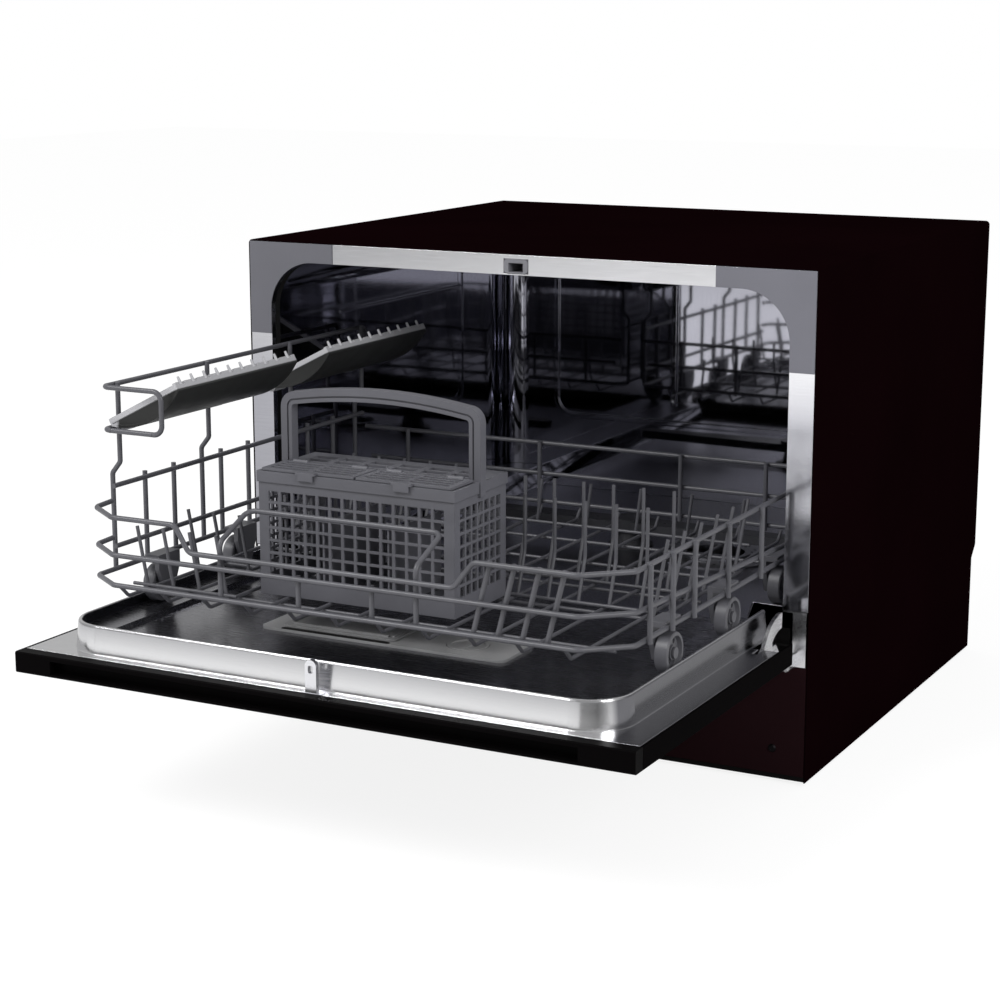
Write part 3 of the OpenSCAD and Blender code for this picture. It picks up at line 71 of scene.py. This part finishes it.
class Shader:
    """A Principled material with short calls for its noise, bump and colour nodes."""

    def __init__(self, name):
        self.material = bpy.data.materials.new(name)
        self.material.use_nodes = True
        self.tree = self.material.node_tree
        self.surface = self.tree.nodes["Principled BSDF"]
        self.place = self.tree.nodes.new("ShaderNodeTexCoord").outputs["Object"]

    def node(self, kind, **values):
        made = self.tree.nodes.new(kind)
        for key, value in values.items():
            setattr(made, key, value)
        return made

    def link(self, output, socket):
        self.tree.links.new(output, socket)

    def feed(self, socket, output):
        """Link an output to one of the surface's own sockets."""
        self.link(output, self.surface.inputs[socket])

    def value(self, socket, number):
        self.surface.inputs[socket].default_value = number

    def recolour(self, make):
        """Put a further colour step between the colour so far and the surface."""
        before = self.surface.inputs["Base Color"].links[0].from_socket
        self.feed("Base Color", make(self, before))

    def stretched(self, scale):
        mapping = self.node("ShaderNodeMapping")
        mapping.inputs["Scale"].default_value = scale
        self.link(self.place, mapping.inputs["Vector"])
        return mapping.outputs["Vector"]

    def noise(self, scale, detail, stretch=None):
        made = self.node("ShaderNodeTexNoise")
        made.inputs["Scale"].default_value = scale
        made.inputs["Detail"].default_value = detail
        made.inputs["Roughness"].default_value = 0.55
        self.link(self.stretched(stretch) if stretch else self.place, made.inputs["Vector"])
        return made.outputs["Fac"]

    def ramp(self, factor, stops):
        made = self.node("ShaderNodeValToRGB")
        while len(made.color_ramp.elements) < len(stops):
            made.color_ramp.elements.new(0.5)
        for element, (at, colour) in zip(made.color_ramp.elements, stops):
            element.position = at
            element.color = (*colour, 1.0)
        self.link(factor, made.inputs["Fac"])
        return made.outputs["Color"]

    def cloudy(self, factor, colour, vary, start=0.3, end=0.7):
        """The colour, darker and lighter by a share as the factor goes from start to end."""
        return self.ramp(factor, [(start, shade(colour, 1 - vary)), (end, shade(colour, 1 + vary))])

    def spread(self, factor, low, high, start=0.3, end=0.7):
        """From low to high as the factor goes from start to end."""
        made = self.node("ShaderNodeMapRange")
        made.inputs["From Min"].default_value = start
        made.inputs["From Max"].default_value = end
        made.inputs["To Min"].default_value = low
        made.inputs["To Max"].default_value = high
        self.link(factor, made.inputs["Value"])
        return made.outputs["Result"]

    def share(self, factor, start, end):
        """From 0 to 1 as the factor goes from start to end."""
        return self.spread(factor, 0.0, 1.0, start, end)

    def bump(self, height, strength, distance, normal=None):
        made = self.node("ShaderNodeBump")
        made.inputs["Strength"].default_value = strength
        made.inputs["Distance"].default_value = distance
        self.link(height, made.inputs["Height"])
        if normal is not None:
            self.link(normal, made.inputs["Normal"])
        return made.outputs["Normal"]

    def along(self, direction, offset=0.0):
        """Distance along a direction in the part's own frame, less an offset."""
        made = self.node("ShaderNodeVectorMath", operation="DOT_PRODUCT")
        made.inputs[1].default_value = direction
        self.link(self.place, made.inputs[0])
        shift = self.node("ShaderNodeMath", operation="SUBTRACT")
        shift.inputs[1].default_value = offset
        self.link(made.outputs["Value"], shift.inputs[0])
        return shift.outputs[0]

    def facing(self, direction):
        """How far the surface faces a direction, 1 at most."""
        made = self.node("ShaderNodeVectorMath", operation="DOT_PRODUCT")
        made.inputs[1].default_value = direction
        self.link(self.node("ShaderNodeNewGeometry").outputs["Normal"], made.inputs[0])
        return made.outputs["Value"]

    def times(self, first, second):
        made = self.node("ShaderNodeMath", operation="MULTIPLY")
        self.link(first, made.inputs[0])
        self.link(second, made.inputs[1])
        return made.outputs[0]

    def mixed(self, factor, first, second, blend="MIX"):
        made = self.node("ShaderNodeMix", data_type="RGBA", blend_type=blend)
        for socket, value in ((made.inputs[0], factor), (made.inputs[6], first),
                              (made.inputs[7], second)):
            if isinstance(value, tuple):
                socket.default_value = (*value, 1.0)
            elif isinstance(value, float):
                socket.default_value = value
            else:
                self.link(value, socket)
        return made.outputs[2]

    def tinted(self, first, second):
        """Product of two colours."""
        return self.mixed(1.0, first, second, "MULTIPLY")

    def soft_edges(self, radius):
        """Normal rounded over the edges, or none for a radius of zero."""
        if not radius:
            return None
        made = self.node("ShaderNodeBevel", samples=4)
        made.inputs["Radius"].default_value = radius
        return made.outputs["Normal"]


def shade(colour, factor):
    return tuple(min(1.0, channel * factor) for channel in colour)


def grey(level):
    return (level, level, level)


def moulded(name, colour, rough=0.45, grain=900.0, depth=0.00004, spec=0.4, vary=0.12,
            edge=0.0006):
    """Moulded plastic: fine texture, a little flow and dulling, soft edges."""
    s = Shader(name)
    s.feed("Base Color", s.cloudy(s.noise(14.0, 5.0), colour, vary))
    s.feed("Roughness", s.spread(s.noise(38.0, 3.0), rough - 0.06, rough + 0.06))
    s.value("Specular IOR Level", spec)
    s.feed("Normal", s.bump(s.noise(grain, 2.0), 0.35, depth, s.soft_edges(edge)))
    return s


def painted(name, colour, rough, spec, peel=260.0):
    """Sprayed or coated sheet: orange peel, faint wiping marks."""
    s = Shader(name)
    s.feed("Base Color", s.cloudy(s.noise(6.0, 4.0), colour, 0.15, 0.25, 0.75))
    wipe = s.noise(22.0, 4.0, stretch=(1.0, 0.25, 1.0))
    s.feed("Roughness", s.spread(wipe, rough - 0.05, rough + 0.05))
    s.value("Specular IOR Level", spec)
    s.feed("Normal", s.bump(s.noise(peel, 2.0), 0.3, 0.00003, s.soft_edges(0.001)))
    return s


def steel(name, colour, rough, grain=(1.0, 60.0, 60.0), depth=0.00002, edge=0.0):
    """Stainless sheet: brushed or polished, with a grain along one axis."""
    s = Shader(name)
    s.value("Metallic", 1.0)
    lines = s.noise(45.0, 5.0, stretch=grain)
    s.feed("Base Color", s.cloudy(lines, colour, 0.08))
    s.feed("Roughness", s.spread(lines, rough * 0.75, rough * 1.3))
    waves = s.bump(s.noise(5.0, 2.0), 0.2, 0.001, s.soft_edges(edge))
    s.feed("Normal", s.bump(lines, 0.12, depth, waves))
    return s


def rubber(name, colour):
    """Matt rubber with dust on it."""
    s = Shader(name)
    s.feed("Base Color", s.ramp(s.noise(60.0, 6.0), [(0.35, colour), (0.8, shade(colour, 1.8))]))
    s.value("Roughness", 0.75)
    s.value("Specular IOR Level", 0.25)
    s.feed("Normal", s.bump(s.noise(500.0, 3.0), 0.5, 0.00008))
    return s


def window_glass(name):
    """Smoked clear window."""
    s = Shader(name)
    s.value("Transmission Weight", 0.85)
    s.value("Roughness", 0.04)
    s.feed("Base Color", s.ramp(s.noise(20.0, 4.0), [(0.3, (0.02, 0.022, 0.025)),
                                                     (0.7, (0.03, 0.033, 0.036))]))
    return s


CASING = (0.0042, 0.0011, 0.0016)
BLACK = (0.0024, 0.0020, 0.0022)
WIRE = (0.092, 0.092, 0.104)
BASKET = (0.105, 0.105, 0.12)
FRAME_GREY = (0.165, 0.165, 0.19)

ALONG_X, ALONG_Y, ALONG_Z = (1.0, 30.0, 30.0), (40.0, 1.0, 40.0), (40.0, 40.0, 1.0)

finish = {
    "casing": painted("casing_paint", CASING, 0.45, 0.0),
    "kick": painted("kick_paint", (0.016, 0.0066, 0.008), 0.4, 0.004),
    "rear": painted("rear_sheet", shade(BLACK, 2.2), 0.55, 0.12),
    "base": moulded("base_moulding", shade(BLACK, 1.2), 0.55, spec=0.12),
    "foot": rubber("foot_rubber", grey(0.012)),
    "strip": steel("frame_steel", (0.72, 0.72, 0.74), 0.13, edge=0.0004),
    "corner": moulded("corner_moulding", FRAME_GREY, 0.5, spec=0.25, vary=0.05),
    "receiver": moulded("receiver_moulding", (0.2, 0.2, 0.22)),
    "tub": steel("tub_steel", (0.38, 0.38, 0.43), 0.035, grain=ALONG_Z, depth=0.000004,
                 edge=0.002),
    # Rougher copy of the tub steel for its floor; its darker colour is painted shade
    "basin": steel("tub_floor_shaded_steel", (0.3, 0.3, 0.34), 0.3, grain=ALONG_Z),
    "gasket": rubber("gasket_rubber", grey(0.006)),
    "hinge": steel("hinge_steel", (0.78, 0.78, 0.8), 0.24, grain=ALONG_Y),
    "well": moulded("well_moulding", (0.05, 0.05, 0.055), 0.4),
    "mesh": steel("filter_steel", (0.3, 0.3, 0.32), 0.35),
    "spray": moulded("spray_moulding", (0.05, 0.05, 0.056)),
    "pump": moulded("pump_moulding", (0.02, 0.02, 0.022), 0.5),
    "heater": steel("heater_steel", (0.4, 0.4, 0.42), 0.3),
    "valve": moulded("valve_moulding", (0.1, 0.13, 0.17)),
    "clear": moulded("breaker_moulding", (0.5, 0.52, 0.48), 0.25),
    "screw": steel("screw_black", (0.012, 0.011, 0.012), 0.4),
    "door": painted("door_paint", BLACK, 0.3, 0.001),
    "front": painted("door_gloss", BLACK, 0.2, 0.3, peel=140.0),
    "trim": moulded("trim_moulding", BLACK, 0.3, spec=0.01, grain=1400.0, depth=0.00001),
    "liner": steel("liner_steel", (0.72, 0.72, 0.73), 0.17, grain=ALONG_X, edge=0.0015),
    "panel": moulded("panel_gloss", (0.004, 0.004, 0.0045), 0.15, spec=0.3, depth=0.000005),
    "glass": window_glass("window_glass"),
    "board": moulded("board_laminate", (0.02, 0.08, 0.03), 0.4),
    "strike": steel("strike_steel", (0.75, 0.75, 0.78), 0.22),
    "dispenser": moulded("dispenser_moulding", (0.33, 0.33, 0.335), 0.38),
    "lid": moulded("lid_moulding", (0.29, 0.29, 0.295), 0.35),
    # Darker copy of the liner steel: painted shade on the liner's floor
    "pan": steel("liner_floor_shaded_steel", (0.26, 0.26, 0.28), 0.24, grain=ALONG_X),
    "button": moulded("button_moulding", (0.06, 0.06, 0.065), 0.3),
    "wire": moulded("rack_coating", WIRE, 0.36, grain=500.0, depth=0.00006, spec=0.45,
                    vary=0.16, edge=0.0),
    "wheel": moulded("wheel_moulding", (0.1, 0.1, 0.112), 0.4),
    "shelf": moulded("shelf_moulding", (0.04, 0.04, 0.046)),
    "basket": moulded("basket_moulding", BASKET, 0.42, spec=0.35),
}


def strip_painted_light(s, colour):
    """Front frame with painted light: its steel lightens to the right, and painted shade makes it
    duller on the legs.
    """
    left, right = -0.26, 0.12
    foot, head = 0.1, 0.36
    across = s.ramp(s.share(s.along(RIGHT), left, right),
                    [(0.0, (0.79, 0.79, 0.8)), (0.55, grey(1.06)), (1.0, grey(1.28))])
    legs = s.ramp(s.share(s.along(UP), foot, head),
                  [(0.0, (0.5, 0.5, 0.52)), (0.8, (0.62, 0.62, 0.65)), (1.0, WHITE)])
    return s.tinted(s.tinted(across, legs), colour)


def corner_painted_light(s, colour):
    """Corner covers with painted light: the right one is lighter."""
    left, right = -0.25, 0.25
    lit = s.ramp(s.share(s.along(RIGHT), left, right),
                 [(0.0, (0.84, 0.84, 0.83)), (1.0, grey(1.14))])
    return s.tinted(lit, colour)


def basket_painted_light(s, colour):
    """Painted light: the basket's end wall is coloured lighter than its front, as if it took more
    light.
    """
    end_wall = s.share(s.facing(RIGHT), 0.4, 0.9)
    return s.mixed(end_wall, colour, s.tinted(colour, grey(1.35)))


def liner_painted_light(s, colour):
    """Pressed liner with painted light: a painted highlight makes the foot of its front wall
    bright, and painted shade makes the rim and the sides duller.
    """
    wall_foot, wall_height = 0.1345, 1.0 / 26.0
    flange_from, flange_to = 0.247, 0.251
    wall = s.ramp(s.share(s.along(UP), wall_foot, wall_foot + wall_height),
                  [(0.0, WHITE), (0.2, grey(0.98)), (0.55, (0.66, 0.66, 0.67)),
                   (0.78, (0.5, 0.5, 0.51)), (0.86, grey(0.8)), (1.0, grey(0.9))])
    fronted = s.mixed(s.share(s.facing(FRONT), 0.3, 0.8), WHITE, wall)
    painted_side_shade = s.mixed(s.share(s.facing(RIGHT), 0.72, 0.86), WHITE, (0.24, 0.24, 0.255))
    flange = s.share(s.along(RIGHT), flange_from, flange_to)
    sided = s.mixed(flange, painted_side_shade, (0.42, 0.42, 0.44))
    return s.tinted(s.tinted(fronted, sided), colour)


def shelf_painted_light(s, colour):
    """Cup shelves with painted light and shade: light above the chord of the scoop, dark below it,
    darkest on the end webs.
    """
    tilt = math.radians(27.0)
    hinge_x, hinge_z = -0.24, 0.3071
    rim_from, rim_to = -0.232, -0.229
    above_chord = s.along((-math.sin(tilt), 0.0, math.cos(tilt)),
                          hinge_z * math.cos(tilt) - hinge_x * math.sin(tilt))
    low = s.spread(above_chord, 1.0, 0.0, 0.0014, 0.0024)
    inner = s.share(s.along(RIGHT), rim_from, rim_to)
    end_web = s.share(s.facing(FRONT), 0.5, 0.9)
    dark = s.mixed(end_web, (0.03, 0.031, 0.03), (0.013, 0.0135, 0.013))
    return s.mixed(s.times(low, inner), (0.46, 0.46, 0.48), dark)


finish["strip"].recolour(strip_painted_light)
finish["corner"].recolour(corner_painted_light)
finish["basket"].recolour(basket_painted_light)
finish["liner"].recolour(liner_painted_light)
finish["shelf"].recolour(shelf_painted_light)

finish_of = {
    "outer_casing": "casing", "rear_panel": "rear", "base_tray": "base", "feet": "foot",
    "kick_plate": "kick", "front_frame": "strip", "left_frame_corner": "corner",
    "right_frame_corner": "corner", "latch_receiver": "receiver", "tub": "tub",
    "tub_gasket": "gasket", "door_sill": "base", "hinge_brackets": "hinge",
    "hinge_pins": "hinge", "sump": "well", "filter_plate": "mesh", "filter_cup": "mesh",
    "spray_hub": "spray", "spray_arm": "spray", "wash_pump": "pump", "drain_pump": "pump",
    "flow_heater": "heater", "inlet_valve": "valve", "drain_spigot": "pump",
    "cord_gland": "gasket", "air_breaker": "clear", "casing_screws": "screw",
    "door_outer_panel": "door", "door_top_trim": "trim", "door_liner": "liner",
    "control_panel": "panel", "display_window": "glass", "control_board": "board",
    "latch_strike": "strike", "hinge_arms": "hinge", "dispenser_body": "dispenser",
    "dispenser_lid": "lid", "rinse_cap": "dispenser", "power_button": "button",
    "program_button": "button", "start_button": "button", "shelf_front_bar": "wire",
    "rack_rim": "wire", "rack_uprights": "wire", "rack_floor": "wire", "rack_tines": "wire",
    "shelf_frame": "wire", "basket_guard": "wire", "wheel_brackets": "wheel",
    "front_left_wheel": "wheel", "middle_left_wheel": "wheel", "rear_left_wheel": "wheel",
    "front_right_wheel": "wheel", "middle_right_wheel": "wheel", "rear_right_wheel": "wheel",
    "front_cup_shelf": "shelf", "rear_cup_shelf": "shelf", "cutlery_basket": "basket",
    "left_basket_lid": "basket", "right_basket_lid": "basket",
}


def cover(name, key):
    """Give every face of a node one finish."""
    mesh = nodes[name].data
    mesh.materials.clear()
    mesh.materials.append(finish[key].material)
    for face in mesh.polygons:
        face.material_index = 0


def cover_part(name, key, chosen):
    """Give a second finish to the faces of a node that a test chooses."""
    mesh = nodes[name].data
    mesh.materials.append(finish[key].material)
    for face in mesh.polygons:
        if chosen(face):
            face.material_index = 1


def on_liner_floor(face):
    """The pressed floor of the liner, inside its walls."""
    half_width, lowest, highest = 0.243, 0.1435, 0.1505
    level = abs(face.normal.z) > 0.3
    return abs(face.center.x) < half_width and lowest < face.center.z < highest and level


def on_door_front(face):
    """The outer face of the door, which points down while it is open."""
    return face.normal.z < -0.9


def on_tub_floor(face):
    """The upper side of the tub's floor."""
    floor_top = 0.2
    return face.normal.z > 0.6 and face.center.z < floor_top


for node_name, finish_key in finish_of.items():
    cover(node_name, finish_key)
# Painted shade: the liner's floor takes a darker, rougher copy of the liner steel
cover_part("door_liner", "pan", on_liner_floor)
cover_part("door_outer_panel", "front", on_door_front)
# The tub's floor takes a rougher steel, and its darker colour is painted shade
cover_part("tub", "basin", on_tub_floor)


def gap_shade_strip(name, low, high, corner, material):
    """Flat strip with round corners and a chamfered top, from its low to its high corner."""
    points = 24
    chamfer_in, chamfer_down = 0.0002, 0.00015
    shape = bmesh.new()
    rings = []
    for inset, z in ((0.0, low[2]), (0.0, high[2] - chamfer_down), (chamfer_in, high[2])):
        ring = []
        for turn in range(points):
            angle = 2.0 * math.pi * turn / points
            x = high[0] - corner if math.cos(angle) > 0.0 else low[0] + corner
            y = high[1] - corner if math.sin(angle) > 0.0 else low[1] + corner
            ring.append(shape.verts.new((x + (corner - inset) * math.cos(angle),
                                         y + (corner - inset) * math.sin(angle), z)))
        rings.append(ring)
    for below, above in zip(rings, rings[1:]):
        for at in range(points):
            shape.faces.new((below[at], below[at - 1], above[at - 1], above[at]))
    shape.faces.new(rings[0])
    shape.faces.new(rings[-1])
    bmesh.ops.recalc_face_normals(shape, faces=shape.faces)
    mesh = bpy.data.meshes.new(name)
    shape.to_mesh(mesh)
    shape.free()
    mesh.materials.append(material)
    made = bpy.data.objects.new(name, mesh)
    bpy.context.scene.collection.objects.link(made)
    return made


# Painted shade: a dark strip standing in for the shadow gap in front of the dispenser's lid, set
# into the plate and a little above it
GAP_SHADE_END_INSET = 0.002
GAP_SHADE_FRONT, GAP_SHADE_BACK = 0.0058, 0.0010
GAP_SHADE_SUNK, GAP_SHADE_RAISED = 0.0002, 0.0004
GAP_SHADE_CORNER = 0.0022

lid_low, lid_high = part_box("dispenser_lid")
plate_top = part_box("dispenser_body")[1][2]
gap_shade = gap_shade_strip(
    "dispenser_gap_shade",
    (lid_low[0] + GAP_SHADE_END_INSET, lid_low[1] - GAP_SHADE_FRONT, plate_top - GAP_SHADE_SUNK),
    (lid_high[0] - GAP_SHADE_END_INSET, lid_low[1] - GAP_SHADE_BACK, plate_top + GAP_SHADE_RAISED),
    GAP_SHADE_CORNER, finish["gasket"].material)
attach(gap_shade, "door")


def plain_shader(tree, kind, colour=WHITE, strength=None):
    """One shader node of a stage material or of the world."""
    made = tree.nodes.new(kind)
    made.inputs["Color"].default_value = (*colour, 1.0)
    if strength is not None:
        made.inputs["Strength"].default_value = strength
    return made.outputs[0]


def by_ray(tree, path, operation, number):
    """Light Path output after one step of arithmetic."""
    step = tree.nodes.new("ShaderNodeMath")
    step.operation = operation
    step.inputs[1].default_value = number
    tree.links.new(tree.nodes.new("ShaderNodeLightPath").outputs[path], step.inputs[0])
    return step.outputs[0]


def blend_out(tree, kind, factor, first, second):
    """Output that shows the first shader at a factor of 0 and the second at 1."""
    output = tree.nodes.new(kind)
    blend = tree.nodes.new("ShaderNodeMixShader")
    tree.links.new(factor, blend.inputs["Fac"])
    tree.links.new(first, blend.inputs[1])
    tree.links.new(second, blend.inputs[2])
    tree.links.new(blend.outputs[0], output.inputs["Surface"])


def stage_plane(name, side, at):
    """Plane of the studio and the empty tree of its material."""
    bpy.ops.mesh.primitive_plane_add(size=side, location=at)
    plane = bpy.context.object
    plane.name = name
    material = bpy.data.materials.new(name)
    material.use_nodes = True
    material.node_tree.nodes.clear()
    plane.data.materials.append(material)
    return plane, material.node_tree


# Pale floor that the camera sees nearly white, with the object's shadow on it
floor, floor_tree = stage_plane("studio_floor", 14.0, (0.0, 2.0, -0.0005))
blend_out(floor_tree, "ShaderNodeOutputMaterial",
          by_ray(floor_tree, "Is Camera Ray", "MULTIPLY", 0.75),
          plain_shader(floor_tree, "ShaderNodeBsdfDiffuse", grey(0.9)),
          plain_shader(floor_tree, "ShaderNodeEmission", WHITE, 1.15))

# Dark card on the floor that only repeated reflections in the tub show
card, card_tree = stage_plane("dark_card", 1.0, (1.0, -1.65, 0.0015))
card.scale = (1.5, 1.3, 1.0)
blend_out(card_tree, "ShaderNodeOutputMaterial",
          by_ray(card_tree, "Ray Depth", "GREATER_THAN", 1.5),
          plain_shader(card_tree, "ShaderNodeBsdfTransparent"),
          plain_shader(card_tree, "ShaderNodeBsdfDiffuse", (0.024, 0.024, 0.03)))

# World: soft fill on the object, white behind it
world = bpy.data.worlds.new("studio")
bpy.context.scene.world = world
world.use_nodes = True
world.node_tree.nodes.clear()
blend_out(world.node_tree, "ShaderNodeOutputWorld",
          by_ray(world.node_tree, "Is Camera Ray", "MULTIPLY", 1.0),
          plain_shader(world.node_tree, "ShaderNodeBackground", WHITE, 0.55),
          plain_shader(world.node_tree, "ShaderNodeBackground", WHITE, 1.0))


def lamp(name, at, aim, power, size):
    """Rectangular area lamp turned at a point."""
    data = bpy.data.lights.new(name, "AREA")
    data.energy = power
    data.shape = "RECTANGLE"
    data.size, data.size_y = size
    made = bpy.data.objects.new(name, data)
    made.location = at
    made.rotation_euler = (Vector(aim) - Vector(at)).to_track_quat("-Z", "Y").to_euler()
    bpy.context.scene.collection.objects.link(made)


LIT_POINT = (0.0, -0.2, 0.2)
lamp("key", (-1.4, -2.2, 2.4), LIT_POINT, 60.0, (1.6, 1.2))
lamp("side", (2.6, -1.4, 1.6), LIT_POINT, 30.0, (1.2, 1.2))
